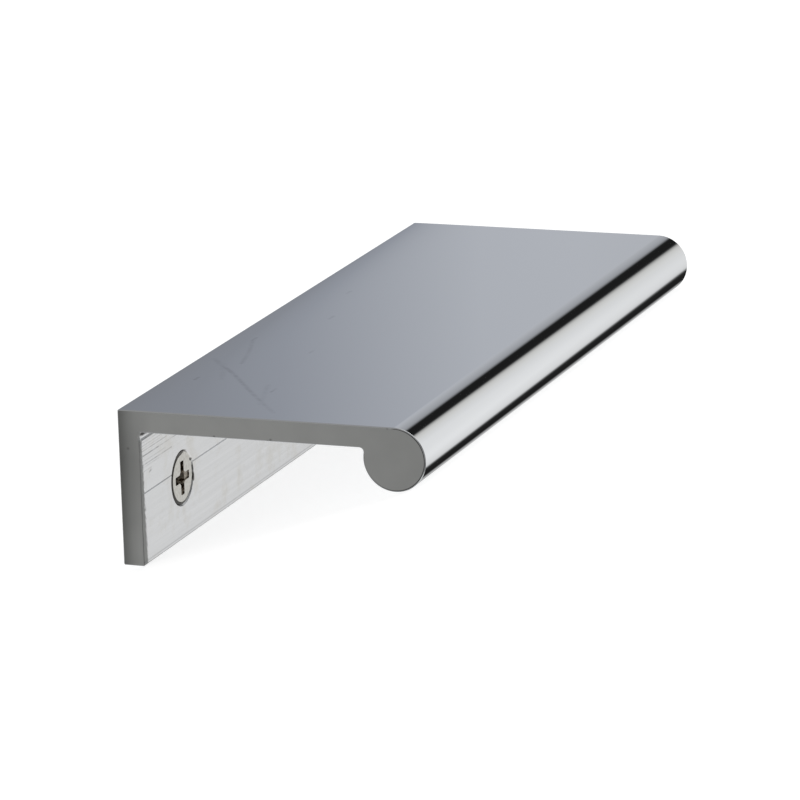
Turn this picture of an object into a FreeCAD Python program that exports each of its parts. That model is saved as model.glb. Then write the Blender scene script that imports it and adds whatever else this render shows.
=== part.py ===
"""Edge pull for a drawer or cupboard door, with its two fixing screws. Millimetres.

The pull is one length of extruded L section. Its flange is screwed to the front of the drawer, its plate
reaches out over the fingers, and a round bead along the plate's outer edge is what they close on. Two
countersunk cross-recess screws sit in the flange.

Everything is drawn as installed: X runs out from the mounting face, Y along the pull and Z up from the
flange's tip. The finished pieces are then turned to lie as the loose pull does on a level table, on its
flange's tip and its bead, with the origin under the middle of their box.
"""

import FreeCAD
import Part

import math
import os

# The extruded section
LENGTH = 106.0
PROJECTION = 40.4
FLANGE_HEIGHT = 20.0
FLANGE_THICKNESS = 2.8
PLATE_THICKNESS = 2.8
BEAD_DIAMETER = 8.1
BEAD_FILLET = 0.55
CORNER_RADIUS = 0.2

# Fine features of the section and of its sawn ends
RELIEF_WIDTH = 1.15
RELIEF_DEPTH = 0.3
RELIEF_DEEPEST = 0.8
SCRIBE_HEIGHT = 9.15
SCRIBE_WIDTH = 0.3
SCRIBE_DEPTH = 0.15
END_BREAK = 0.12

# The two countersunk holes in the flange
SCREW_END_DISTANCE = 13.0
SCREW_HEIGHT = 7.9
HOLE_DIAMETER = 4.0
COUNTERSINK_DIAMETER = 7.25
COUNTERSINK_ANGLE = 90.0

# The screws
HEAD_DIAMETER = 6.8
HEAD_LAND = 0.15
HEAD_EDGE_WIDTH = 0.35
HEAD_EDGE_DEPTH = 0.1
SEAT_GAP = 0.05
SCREW_LENGTH = 6.5
NECK_DIAMETER = 2.9
THREAD_DIAMETER = 3.5
POINT_LENGTH = 1.5
POINT_DIAMETER = 2.2

# The screws' cross recess
RECESS_SPAN = 4.4
RECESS_WING = 1.05
RECESS_DEPTH = 1.9
RECESS_FLOOR_SPAN = 1.3
RECESS_CENTRE_SPAN = 2.1

# Worked out from the sizes above
BEAD_RADIUS = BEAD_DIAMETER / 2
BEAD_X = PROJECTION - BEAD_RADIUS
BEAD_Z = FLANGE_HEIGHT - BEAD_RADIUS
UNDERSIDE_Z = FLANGE_HEIGHT - PLATE_THICKNESS
CONE_SLOPE = math.tan(math.radians(COUNTERSINK_ANGLE / 2))

OVERCUT = 1.0


def in_section(x, z):
    """A point of the section, in the plane halfway along the pull."""
    return FreeCAD.Vector(x, 0, z)


def arc(start, middle, end):
    """An edge along the arc through three points."""
    return Part.Arc(start, middle, end).toShape()


def on_circle(x, z, radius, degrees):
    """The section's point at an angle on a circle, counted from +X towards +Z."""
    turn = math.radians(degrees)
    return in_section(x + radius * math.cos(turn), z + radius * math.sin(turn))


def round_corner(x, z, radius, first, last):
    """An edge round a corner whose circle is centred on x, z, between two angles."""
    return arc(
        on_circle(x, z, radius, first),
        on_circle(x, z, radius, (first + last) / 2),
        on_circle(x, z, radius, last),
    )


def section_face():
    """The L section with its bead, before the fine grooves are cut."""
    edge = CORNER_RADIUS
    rise = BEAD_RADIUS - PLATE_THICKNESS - BEAD_FILLET
    reach = BEAD_RADIUS + BEAD_FILLET
    fillet_x = BEAD_X - math.sqrt(reach**2 - rise**2)
    fillet_z = UNDERSIDE_Z - BEAD_FILLET
    meet = math.degrees(math.atan2(rise, fillet_x - BEAD_X))

    back_top = round_corner(edge, FLANGE_HEIGHT - edge, edge, 180, 90)
    bead = round_corner(BEAD_X, BEAD_Z, BEAD_RADIUS, 90, meet - 360)
    fillet = round_corner(fillet_x, fillet_z, BEAD_FILLET, meet - 180, 90)
    front_tip = round_corner(FLANGE_THICKNESS - edge, edge, edge, 0, -90)
    back_tip = round_corner(edge, edge, edge, -90, -180)
    inner_corner = in_section(FLANGE_THICKNESS, UNDERSIDE_Z)

    def run(start, end):
        return Part.LineSegment(start, end).toShape()

    def first(piece):
        return piece.valueAt(piece.FirstParameter)

    def last(piece):
        return piece.valueAt(piece.LastParameter)

    outline = [
        back_top,
        run(last(back_top), first(bead)),
        bead,
        fillet,
        run(last(fillet), inner_corner),
        run(inner_corner, first(front_tip)),
        front_tip,
        run(last(front_tip), first(back_tip)),
        back_tip,
        run(last(back_tip), first(back_top)),
    ]
    return Part.Face(Part.Wire(outline))


def along_pull(face):
    """A section drawn halfway along, drawn out to the pull's full length."""
    start = face.translated(FreeCAD.Vector(0, -LENGTH / 2, 0))
    return start.extrude(FreeCAD.Vector(0, LENGTH, 0))


def break_end_edges(bar):
    """Takes the sharp edge off round both sawn ends."""
    ends = [f for f in bar.Faces if abs(abs(f.CenterOfMass.y) - LENGTH / 2) < END_BREAK]
    edges = [e for f in ends for e in f.OuterWire.Edges]
    return bar.makeChamfer(END_BREAK, edges)


def groove(top_z, deepest_z, bottom_z, depth):
    """A groove along the flange's front: it slants in from top_z and comes out at bottom_z."""
    front = FLANGE_THICKNESS
    corners = [
        in_section(front, top_z),
        in_section(front - depth, deepest_z),
        in_section(front, bottom_z),
        in_section(front + OVERCUT, bottom_z),
        in_section(front + OVERCUT, top_z),
    ]
    return along_pull(Part.Face(Part.makePolygon([*corners, corners[0]])))


def corner_relief():
    """The shallow groove in the flange, close under the plate."""
    return groove(
        UNDERSIDE_Z,
        UNDERSIDE_Z - RELIEF_DEEPEST,
        UNDERSIDE_Z - RELIEF_WIDTH,
        RELIEF_DEPTH,
    )


def scribe_line():
    """The fine V groove that runs along the flange, just above the screws' middles."""
    half = SCRIBE_WIDTH / 2
    return groove(SCRIBE_HEIGHT + half, SCRIBE_HEIGHT, SCRIBE_HEIGHT - half, SCRIBE_DEPTH)


def turned(outline, y):
    """A solid of revolution about a screw's axis: outline is pairs of X and radius."""
    points = [FreeCAD.Vector(x, y, SCREW_HEIGHT + radius) for x, radius in outline]
    face = Part.Face(Part.makePolygon([*points, points[0]]))
    centre = FreeCAD.Vector(0, y, SCREW_HEIGHT)
    return face.revolve(centre, FreeCAD.Vector(1, 0, 0), 360)


def screw_hole(y):
    """What is drilled and countersunk out of the flange for one screw."""
    bore = HOLE_DIAMETER / 2
    mouth = COUNTERSINK_DIAMETER / 2
    cone_depth = (mouth - bore) / CONE_SLOPE
    front = FLANGE_THICKNESS
    return turned(
        [
            (-OVERCUT, 0),
            (-OVERCUT, bore),
            (front - cone_depth, bore),
            (front, mouth),
            (front + OVERCUT, mouth + OVERCUT * CONE_SLOPE),
            (front + OVERCUT, 0),
        ],
        y,
    )


def pull_profile():
    """The pull itself: one extruded, drilled and edge-broken length."""
    bar = break_end_edges(along_pull(section_face()))
    bar = bar.cut(corner_relief())
    bar = bar.cut(scribe_line())
    for y in screw_places():
        bar = bar.cut(screw_hole(y))
    return bar


def screw_places():
    """Where the screws sit along the pull, the near end's first."""
    place = LENGTH / 2 - SCREW_END_DISTANCE
    return [-place, place]


def head_face_x():
    """X of the screw head's flat face, from how deep its cone seats in the countersink."""
    normal_gap = SEAT_GAP / math.cos(math.radians(COUNTERSINK_ANGLE / 2))
    sink = ((COUNTERSINK_DIAMETER - HEAD_DIAMETER) / 2 - normal_gap) / CONE_SLOPE
    return FLANGE_THICKNESS - sink + HEAD_LAND


def cross_recess(y, face_x):
    """The driver recess: two tapering slots across each other and a round well between them."""
    deep = face_x - RECESS_DEPTH
    shallow = face_x + OVERCUT
    taper = (RECESS_SPAN - RECESS_FLOOR_SPAN) / 2 / RECESS_DEPTH
    envelope = turned(
        [
            (deep, 0),
            (deep, RECESS_FLOOR_SPAN / 2),
            (shallow, RECESS_SPAN / 2 + OVERCUT * taper),
            (shallow, 0),
        ],
        y,
    )
    span = RECESS_SPAN + 2 * OVERCUT * taper
    slots = []
    for width, height in ((span, RECESS_WING), (RECESS_WING, span)):
        corner = FreeCAD.Vector(deep, y - width / 2, SCREW_HEIGHT - height / 2)
        slots.append(Part.makeBox(shallow - deep, width, height, corner))
    wings = slots[0].fuse(slots[1]).common(envelope)
    well = turned([(deep, 0), (face_x, RECESS_CENTRE_SPAN / 2), (face_x, 0)], y)
    return wings.fuse(well)


def screw(y):
    """One countersunk cross-recess screw in its hole, with its blunt tip behind the flange."""
    face_x = head_face_x()
    head = HEAD_DIAMETER / 2
    neck = NECK_DIAMETER / 2
    thread = THREAD_DIAMETER / 2
    cone_x = face_x - HEAD_LAND
    neck_x = cone_x - (head - neck) / CONE_SLOPE
    tip_x = face_x - SCREW_LENGTH
    body = turned(
        [
            (face_x, 0),
            (face_x, head - HEAD_EDGE_WIDTH),
            (face_x - HEAD_EDGE_DEPTH, head),
            (cone_x, head),
            (neck_x, neck),
            (0, neck),
            (0, thread),
            (tip_x + POINT_LENGTH, thread),
            (tip_x, POINT_DIAMETER / 2),
            (tip_x, 0),
        ],
        y,
    )
    return body.cut(cross_recess(y, face_x))


def resting_lean():
    """Degrees that the loose pull tips forward before its bead meets the table."""
    run = BEAD_X - (FLANGE_THICKNESS - CORNER_RADIUS)
    rise = BEAD_Z - CORNER_RADIUS
    under = math.asin((BEAD_RADIUS - CORNER_RADIUS) / math.hypot(run, rise))
    return math.degrees(math.atan2(rise, run) - under)


def lie_down(pieces):
    """Turns the pieces to the pull's resting lean and sets the origin under their middle."""
    lean = resting_lean()
    turned_pieces = {}
    for name, piece in pieces.items():
        turned_pieces[name] = piece.rotated(FreeCAD.Vector(), FreeCAD.Vector(0, 1, 0), lean)
    box = Part.Compound(list(turned_pieces.values())).optimalBoundingBox(False)
    shift = FreeCAD.Vector(-box.Center.x, -box.Center.y, -box.ZMin)
    print("lean", round(lean, 4), "shift", [round(value, 4) for value in shift])
    return {name: piece.translated(shift) for name, piece in turned_pieces.items()}


def main():
    """Builds each piece and writes it as a STEP file named after its node."""
    pieces = {"pull_profile": pull_profile()}
    for name, y in zip(("near_screw", "far_screw"), screw_places()):
        pieces[name] = screw(y)
    os.makedirs("parts", exist_ok=True)
    for name, piece in lie_down(pieces).items():
        piece.exportStep(f"parts/{name}.step")
        print(name, piece.isValid(), len(piece.Solids), round(piece.Volume, 2))


main()
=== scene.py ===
"""Looks of the edge pull: bright-plated extruded profile, two countersunk screws, a white studio.

Everything is modelled as installed, in millimetres turned to metres: X out from the mounting face, Y along
the pull, Z up from the flange's tip. Each finished piece is then laid down as the loose pull lies.
"""

import logging
import math
from collections.abc import Callable, Iterable
from dataclasses import dataclass
from enum import Enum
from functools import partial, reduce

import bmesh
import bpy
from mathutils import Matrix, Vector

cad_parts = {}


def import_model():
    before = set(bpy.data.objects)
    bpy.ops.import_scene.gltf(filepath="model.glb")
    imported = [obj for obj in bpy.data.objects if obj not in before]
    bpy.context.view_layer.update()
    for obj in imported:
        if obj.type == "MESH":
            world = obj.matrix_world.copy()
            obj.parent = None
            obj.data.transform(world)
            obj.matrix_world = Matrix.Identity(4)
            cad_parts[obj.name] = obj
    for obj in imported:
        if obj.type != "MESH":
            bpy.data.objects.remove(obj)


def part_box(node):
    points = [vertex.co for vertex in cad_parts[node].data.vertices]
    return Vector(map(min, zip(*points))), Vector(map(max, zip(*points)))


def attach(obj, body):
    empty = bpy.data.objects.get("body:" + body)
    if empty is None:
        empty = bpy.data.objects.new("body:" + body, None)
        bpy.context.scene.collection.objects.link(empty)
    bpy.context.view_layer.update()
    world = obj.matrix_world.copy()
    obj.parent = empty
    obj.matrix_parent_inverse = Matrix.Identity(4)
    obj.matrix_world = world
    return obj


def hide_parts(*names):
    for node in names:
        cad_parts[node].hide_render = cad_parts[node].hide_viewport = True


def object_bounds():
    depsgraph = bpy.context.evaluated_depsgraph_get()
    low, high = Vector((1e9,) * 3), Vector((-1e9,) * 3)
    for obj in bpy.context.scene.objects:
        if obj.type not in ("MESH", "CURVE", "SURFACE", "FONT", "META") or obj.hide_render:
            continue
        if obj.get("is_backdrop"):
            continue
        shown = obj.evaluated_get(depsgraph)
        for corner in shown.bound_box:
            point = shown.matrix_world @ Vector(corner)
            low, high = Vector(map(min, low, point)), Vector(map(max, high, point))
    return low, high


LOG = logging.getLogger("edge_pull")

Material = bpy.types.Material
Piece = bpy.types.Object
Point = tuple[float, float]
Socket = bpy.types.NodeSocket
Stops = tuple[tuple[float, object], ...]

MM = 0.001
OVERCUT = 1.0
ROUND_STEPS = 96
SAME_POINT = 1e-7
SEAM = 1e-6
X_AXIS = (1.0, 0.0, 0.0)
Y_AXIS = (0.0, 1.0, 0.0)
WHITE = (1.0, 1.0, 1.0, 1.0)


class Part(Enum):
    """The CAD nodes that the looks stand for, and two material slot names that the script doesn't use."""

    PROFILE = "pull_profile"
    NEAR_SCREW = "near_screw"
    FAR_SCREW = "far_screw"
    PROFILE_SLOT = "profile"
    SCREW_SLOT = "screw"


@dataclass(frozen=True)
class Section:
    """The pull's own sizes in millimetres, as the frame has them."""

    length: float = 106.0
    reach: float = 40.4
    height: float = 20.0
    wall: float = 2.8
    bead: float = 8.1
    fillet: float = 0.55
    corner: float = 0.2
    relief: tuple[tuple[float, float], ...] = ((0, 0), (0.21, 0.65), (0.21, 1.06), (0, 1.28))
    scribe_height: float = 9.15
    scribe_half: float = 0.1
    scribe_depth: float = 0.085
    rim: float = 0.12
    screw_from_end: float = 13.0
    screw_height: float = 7.9
    bore: float = 4.0
    countersink: float = 7.25
    roll_off: float = 0.03
    roll_off_reach: float = 1.5

    @property
    def bead_radius(self) -> float:
        """Radius of the bead."""
        return self.bead / 2

    @property
    def bead_x(self) -> float:
        """X of the bead's axis."""
        return self.reach - self.bead_radius

    @property
    def bead_z(self) -> float:
        """Z of the bead's axis."""
        return self.height - self.bead_radius

    @property
    def underside(self) -> float:
        """Z of the plate's underside."""
        return self.height - self.wall

    @property
    def end(self) -> float:
        """Y of the far end; the near end is at minus this."""
        return self.length / 2

    @property
    def screw_y(self) -> float:
        """Y of the far screw; the near one is at minus this."""
        return self.end - self.screw_from_end

    @property
    def lean(self) -> float:
        """How far the loose pull tips forward before its bead meets the table.

        Returns:
            The angle, in radians.
        """
        run = self.bead_x - (self.wall - self.corner)
        rise = self.bead_z - self.corner
        under = math.asin((self.bead_radius - self.corner) / math.hypot(run, rise))
        return math.atan2(rise, run) - under


@dataclass(frozen=True)
class Laying:
    """Where the installed drawing goes in the frame: turned by the lean and shifted onto the table."""

    lean: float
    shift_x: float
    shift_z: float

    @classmethod
    def from_frame(cls, section: Section) -> "Laying":
        """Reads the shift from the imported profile's box.

        Args:
            section: The pull's sizes.

        Returns:
            The turn and shift from the installed drawing to the frame, in radians and metres.
        """
        lean = section.lean
        low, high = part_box(Part.PROFILE.value)
        turned_x = section.bead_x * math.cos(lean) + section.bead_z * math.sin(lean)
        turned_z = section.bead_z * math.cos(lean) - section.bead_x * math.sin(lean)
        shift_x = high.x - (turned_x + section.bead_radius) * MM
        shift_z = low.z - (turned_z - section.bead_radius) * MM
        return cls(lean, shift_x, shift_z)

    @property
    def matrix(self) -> Matrix:
        """The installed drawing's place in the frame."""
        turn = Matrix.Rotation(self.lean, 4, "Y")
        return Matrix.Translation((self.shift_x, 0.0, self.shift_z)) @ turn


def linear(hex_colour: str) -> tuple[float, float, float, float]:
    """Turns an sRGB hex colour into the linear values that a shader takes.

    Args:
        hex_colour: Six hex digits with a leading hash.

    Returns:
        Linear red, green, blue and an alpha of one.
    """
    values = []
    for place in (1, 3, 5):
        share = int(hex_colour[place : place + 2], 16) / 255
        low = share <= 0.04045
        values.append(share / 12.92 if low else ((share + 0.055) / 1.055) ** 2.4)
    return (values[0], values[1], values[2], 1.0)


# Modelling by hand in edit mode


def deselect_all() -> None:
    """Leaves nothing selected, the frame's own nodes included."""
    bpy.ops.object.select_all(action="DESELECT")


def hold(piece: Piece) -> None:
    """Makes one piece the active and only selected object.

    Args:
        piece: The object to work on.
    """
    deselect_all()
    piece.select_set(True)
    bpy.context.view_layer.objects.active = piece


def edit(piece: Piece) -> None:
    """Takes one piece into edit mode."""
    hold(piece)
    bpy.ops.object.mode_set(mode="EDIT")


def leave_edit() -> None:
    """Goes back to object mode."""
    bpy.ops.object.mode_set(mode="OBJECT")


def select_all() -> None:
    """Selects the whole mesh in edit mode."""
    bpy.ops.mesh.select_all(action="SELECT")


def weld(threshold: float) -> None:
    """Merges the doubled vertices of the mesh in edit mode, and selects all of it.

    Args:
        threshold: How near two vertices are merged, in metres.
    """
    select_all()
    bpy.ops.mesh.remove_doubles(threshold=threshold)
    select_all()


def select_where(piece: Piece, kind: str, test: Callable[[Vector], bool]) -> None:
    """Selects, in edit mode, the vertices that pass a test, or the faces with every corner passing it.

    Args:
        piece: The object in edit mode.
        kind: VERT or FACE.
        test: Says whether a point in metres belongs.
    """
    bpy.ops.mesh.select_mode(type=kind)
    bpy.ops.mesh.select_all(action="DESELECT")
    mesh = bmesh.from_edit_mesh(piece.data)
    for element in mesh.verts if kind == "VERT" else mesh.faces:
        corners = [element] if kind == "VERT" else element.verts
        if all(test(corner.co) for corner in corners):
            element.select_set(True)
    bmesh.update_edit_mesh(piece.data)


def apply_modifiers(piece: Piece) -> None:
    """Applies each modifier on a piece, in order.

    Args:
        piece: The object to work on.
    """
    hold(piece)
    for modifier in list(piece.modifiers):
        bpy.ops.object.modifier_apply(modifier=modifier.name)


def combine(piece: Piece, tool: Piece, operation: str) -> None:
    """Cuts a tool out of a piece or joins it on, throws the tool away and welds the seams.

    Args:
        piece: The object that stays.
        tool: The object that is used up.
        operation: DIFFERENCE, INTERSECT or UNION.
    """
    hold(piece)
    modifier = piece.modifiers.new("combine", "BOOLEAN")
    modifier.operation = operation
    modifier.solver = "EXACT"
    modifier.object = tool
    apply_modifiers(piece)
    bpy.data.objects.remove(tool)
    edit(piece)
    weld(SEAM)
    bpy.ops.mesh.dissolve_degenerate(threshold=SEAM)
    leave_edit()


class Drawing:
    """An outline drawn vertex by vertex in the section's plane, then filled, extruded or turned."""

    def __init__(self, name: str, start: Point, y: float) -> None:
        """Starts with one vertex, made from a plane merged at its centre.

        Args:
            name: The object's name.
            start: X and Z of the first point, in millimetres.
            y: Y of the drawing's plane, in millimetres.
        """
        deselect_all()
        self.y = y
        bpy.ops.mesh.primitive_plane_add(size=MM, location=self._place(start))
        self.piece = bpy.context.object
        self.piece.name = name
        self.piece.data.name = name
        bpy.ops.object.transform_apply(location=True, rotation=True, scale=True)
        bpy.ops.object.mode_set(mode="EDIT")
        bpy.ops.mesh.select_mode(type="VERT")
        select_all()
        bpy.ops.mesh.merge(type="CENTER")
        self.tip = self._place(start)

    def _place(self, point: Point) -> Vector:
        """A drawing point in metres."""
        return Vector((point[0], self.y, point[1])) * MM

    def line_to(self, *points: Point) -> None:
        """Extrudes the outline's last vertex to each point in turn.

        Args:
            points: X and Z of each point, in millimetres.
        """
        for point in points:
            goal = self._place(point)
            step = {"value": goal - self.tip}
            bpy.ops.mesh.extrude_vertices_move(TRANSFORM_OT_translate=step)
            self.tip = goal

    def arc_about(self, centre: Point, degrees: float, steps: int) -> None:
        """Spins the outline's last vertex about a centre, counted from +X towards +Z.

        Args:
            centre: X and Z of the arc's centre, in millimetres.
            degrees: How far the arc turns.
            steps: How many edges it has.
        """
        middle = self._place(centre)
        turn = math.radians(degrees)
        bpy.ops.mesh.spin(steps=steps, angle=turn, center=middle, axis=Y_AXIS)
        self.tip = middle + Matrix.Rotation(-turn, 3, "Y") @ (self.tip - middle)

    def close(self) -> None:
        """Joins the last vertex to the first and fills the outline."""
        weld(SAME_POINT)
        bpy.ops.mesh.edge_face_add()

    def round_corners(self, corners: Iterable[Point], radius: float) -> None:
        """Rounds some of the filled outline's corners.

        Args:
            corners: X and Z of each corner, in millimetres.
            radius: Their radius, in millimetres.
        """
        places = [self._place(corner) for corner in corners]
        select_where(self.piece, "VERT", lambda co: any((co - p).length < SEAM for p in places))
        bpy.ops.mesh.bevel(offset=radius * MM, segments=6, profile=0.5, affect="VERTICES")

    def extrude(self, depth: float) -> Piece:
        """Draws the filled outline out along Y.

        Args:
            depth: How far, in millimetres.

        Returns:
            The closed solid, out of edit mode.
        """
        select_all()
        step = {"value": (0.0, depth * MM, 0.0)}
        bpy.ops.mesh.extrude_region_move(TRANSFORM_OT_translate=step)
        return self.finish()

    def turn_about_x(self, z: float, steps: int) -> Piece:
        """Spins an open outline right round a line along X.

        Args:
            z: Height of that line, in millimetres.
            steps: How many sectors the turned solid has.

        Returns:
            The closed solid, out of edit mode.
        """
        centre = self._place((0.0, z))
        select_all()
        bpy.ops.mesh.spin(steps=steps, angle=math.tau, center=centre, axis=X_AXIS)
        return self.finish()

    def finish(self) -> Piece:
        """Merges doubles, turns the faces outward and leaves edit mode.

        Returns:
            The closed solid.
        """
        weld(SAME_POINT)
        bpy.ops.mesh.normals_make_consistent(inside=False)
        leave_edit()
        return self.piece


# Materials


class Shader:
    """A node tree, with one way of adding a node and short ways of adding the common ones."""

    def __init__(self, owner: Material | bpy.types.World) -> None:
        """Starts an empty tree.

        Args:
            owner: The new material or world whose tree it is.
        """
        self.owner = owner
        owner.use_nodes = True
        self.tree = owner.node_tree
        self.tree.nodes.clear()

    def add(self, kind: str, settings: dict | None = None, **links: object) -> bpy.types.Node:
        """Adds a node with its settings, its sockets' values and its links.

        Args:
            kind: The node's type, without its ShaderNode prefix.
            settings: Properties of the node itself.
            **links: Socket names, with spaces as underscores, or in0 and in1 for numbered sockets. A value
                that is a socket is linked, a hex colour is made linear, and any other is set as it is.

        Returns:
            The new node.
        """
        node = self.tree.nodes.new("ShaderNode" + kind)
        for name, value in (settings or {}).items():
            setattr(node, name, value)
        for name, value in links.items():
            numbered = name[:2] == "in" and name[2:].isdigit()
            socket = node.inputs[int(name[2:]) if numbered else name.replace("_", " ")]
            if isinstance(value, bpy.types.NodeSocket):
                self.tree.links.new(value, socket)
            else:
                socket.default_value = linear(value) if isinstance(value, str) else value
        return node

    def ramp(self, factor: Socket, stops: Iterable[tuple[float, object]]) -> Socket:
        """Adds a colour ramp.

        Args:
            factor: What it is read by.
            stops: Places from 0 to 1 with their colours, in hex or linear.

        Returns:
            Its colour.
        """
        node = self.add("ValToRGB", Fac=factor)
        elements = node.color_ramp.elements
        stops = list(stops)
        while len(elements) < len(stops):
            elements.new(0.5)
        for element, (place, colour) in zip(elements, stops):
            element.position = place
            element.color = linear(colour) if isinstance(colour, str) else colour
        return node.outputs["Color"]

    def dial(self, around: Socket, stops: Iterable[tuple[float, object]]) -> Socket:
        """Adds a colour ramp whose stops are angles from -180 to 180 degrees."""
        return self.ramp(around, ((degrees / 360 + 0.5, colour) for degrees, colour in stops))

    def vector(self, operation: str, **links: object) -> Socket:
        """Adds a Vector Math node and gives its vector."""
        return self.add("VectorMath", {"operation": operation}, **links).outputs[0]

    def math(self, operation: str, *values: object) -> Socket:
        """Adds a Math node and gives its result."""
        links = {f"in{place}": value for place, value in enumerate(values)}
        return self.add("Math", {"operation": operation}, **links).outputs[0]

    def times(self, *values: object) -> Socket:
        """Multiplies values together."""
        return reduce(partial(self.math, "MULTIPLY"), values)

    def angle(self, rise: Socket, run: Socket) -> Socket:
        """The angle of a slope, from -180 to 180 degrees, as a share of the turn from 0 to 1."""
        return self.math("MULTIPLY_ADD", self.math("ARCTAN2", rise, run), 1 / math.tau, 0.5)

    def span(self, value: Socket, start: float, end: float, low: float = 0.0, high: float = 1.0) -> Socket:
        """Turns a stretch of a value into another one, held at both ends."""
        return self.add("MapRange", Value=value, in1=start, in2=end, in3=low, in4=high).outputs[0]

    def noise(self, place: Socket, scale: float, detail: float, roughness: float = 0.5) -> Socket:
        """Adds a noise pattern and gives its value."""
        links = {"Vector": place, "Scale": scale, "Detail": detail, "Roughness": roughness}
        return self.add("TexNoise", **links).outputs["Fac"]

    def bump(self, height: Socket, strength: float, distance_mm: float, **links: object) -> Socket:
        """Adds a bump and gives its normal."""
        links |= {"Height": height, "Strength": strength, "Distance": distance_mm * MM}
        return self.add("Bump", **links).outputs[0]

    def blend(self, share: Socket, first: object, second: object) -> Socket:
        """Mixes two colours by a share."""
        return self.add("Mix", {"data_type": "RGBA"}, Factor=share, in6=first, in7=second).outputs[2]

    def stretched(self, place: Socket, scale: tuple[float, float, float]) -> Socket:
        """Coordinates scaled by axis, so that a pattern runs out along the smaller ones."""
        return self.add("Mapping", Vector=place, Scale=scale).outputs[0]

    def axes(self, place: Socket) -> bpy.types.NodeOutputs:
        """A place's X, Y and Z."""
        return self.add("SeparateXYZ", Vector=place).outputs

    def installed(self, laying: Laying, shifted: bool = True) -> Socket:
        """Object coordinates turned back from the lying pose to the installed drawing.

        Args:
            laying: Where the drawing lies.
            shifted: Whether they are also shifted back to the drawing's origin.

        Returns:
            The coordinates, in metres.
        """
        place = self.add("TexCoord").outputs["Object"]
        links = {"Location": laying.matrix.inverted().translation} if shifted else {}
        return self.add("Mapping", Vector=place, Rotation=(0.0, -laying.lean, 0.0), **links).outputs[0]

    def seen(self) -> Socket:
        """One for rays that the camera, a mirror or glass sends out, and nought for light.

        Returns:
            The number.
        """
        path = self.add("LightPath").outputs
        seen = self.math("MAXIMUM", path["Is Camera Ray"], path["Is Glossy Ray"])
        return self.math("MAXIMUM", seen, path["Is Transmission Ray"])

    def metal(self, colour: Socket, roughness: object, metallic: float = 1.0, **links: object) -> Material:
        """Ends the tree in a metal surface.

        Args:
            colour: Its colour.
            roughness: Its roughness.
            metallic: How much of it is bare metal.
            **links: Further sockets of the surface.

        Returns:
            The material.
        """
        links |= {"Base Color": colour, "Roughness": roughness, "Metallic": metallic}
        self.add("OutputMaterial", Surface=self.add("BsdfPrincipled", **links).outputs[0])
        return self.owner


@dataclass(frozen=True)
class Mark:
    """A scuff between two installed places, or a speck where both are the same, in millimetres.

    It fades out over its width to each side. Its depth says how strong it is.
    """

    start: tuple[float, float, float]
    end: tuple[float, float, float]
    width: float
    depth: float


NEAR_END = -Section.length / 2
# Scuffs on the plate's top: X and Y of both ends, width, depth
PLATE_SCUFFS = tuple(
    Mark((x, y, Section.height), (to_x, to_y, Section.height), width, depth)
    for x, y, to_x, to_y, width, depth in (
        (2.1, -26.5, 4.3, -29.4, 0.6, 0.2),
        (4.3, -29.4, 7.4, -33.1, 0.55, 0.34),
        (7.4, -33.1, 12.2, -40.0, 0.5, 0.38),
        (12.2, -40.0, 17.2, -46.8, 0.5, 0.32),
        (17.2, -46.8, 19.5, -49.8, 0.5, 0.2),
        (4.4, -28.9, 7.0, -36.0, 0.7, 0.12),
        (13.9, -37.5, 16.4, -46.5, 0.6, 0.13),
        (3.4, -16.4, 5.2, -22.4, 0.5, 0.2),
        (5.2, -22.4, 6.5, -28.1, 0.5, 0.2),
        (3.8, -37.1, 3.8, -35.9, 0.35, 0.45),
        (15.5, -40.6, 15.5, -39.0, 0.35, 0.35),
        (3.3, -16.6, 3.3, -15.0, 0.35, 0.4),
        (8.9, -3.3, 8.9, -1.7, 0.4, 0.2),
        (13.0, -21.0, 13.0, -19.4, 0.35, 0.18),
        (6.1, 10.4, 6.1, 12.0, 0.4, 0.2),
    )
)
# Die lines that run in from the near end of the flange's front: Z, length, width, depth
DIE_SCORES = tuple(
    Mark((Section.wall, NEAR_END, z), (Section.wall, NEAR_END + length, z), width, depth)
    for z, length, width, depth in (
        (16.0, 106.0, 0.17, 0.8),
        (9.15, 9.2, 0.13, 0.35),
        (15.6, 6.0, 0.1, 0.3),
        (15.2, 7.5, 0.1, 0.34),
        (14.85, 6.5, 0.09, 0.25),
        (14.54, 8.5, 0.11, 0.5),
        (13.9, 6.0, 0.15, 0.8),
        (13.9, 11.5, 0.13, 0.42),
        (13.2, 8.0, 0.1, 0.3),
        (12.76, 10.0, 0.13, 0.5),
        (12.45, 6.0, 0.1, 0.3),
        (11.9, 3.5, 0.12, 0.3),
    )
) + (Mark((2.8, -50.2, 11.45), (2.8, -49.7, 11.6), 0.24, 0.6),)
PIT = Mark((2.8, -37.36, 9.66), (2.8, -36.93, 9.53), 0.27, 3.0)
# The screw seat's marks: a dark pit beside it, and painted shade in the gap at its edge
SEAT_PIT_AND_SHADE = (PIT, Mark((2.7, -36.45, 7.45), (2.7, -36.45, 6.8), 0.4, 1.4))
# Painted shadow in the inner corner under the plate
CORNER_SHADE = (
    Mark((2.65, -52.3, 16.8), (2.6, -51.2, 16.62), 0.34, 2.2),
    Mark((2.6, -51.2, 16.62), (2.58, -50.0, 16.5), 0.26, 1.6),
)
# Nicks in the near sawn end: X, Z, width, depth
END_NICKS = tuple(
    Mark((x, NEAR_END, z), (x, NEAR_END, z), width, depth)
    for x, z, width, depth in (
        (35.55, 19.86, 0.24, 0.55),
        (36.22, 19.9, 0.24, 0.5),
        (20.29, 17.4, 0.3, 0.6),
        (19.9, 17.25, 0.2, 0.5),
        (12.82, 17.3, 0.28, 0.6),
        (1.26, 15.07, 0.3, 0.3),
    )
)
BREAK_PER_M = 700.0
BREAK = (0.35, 0.6, 0.45, 1.2)


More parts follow.
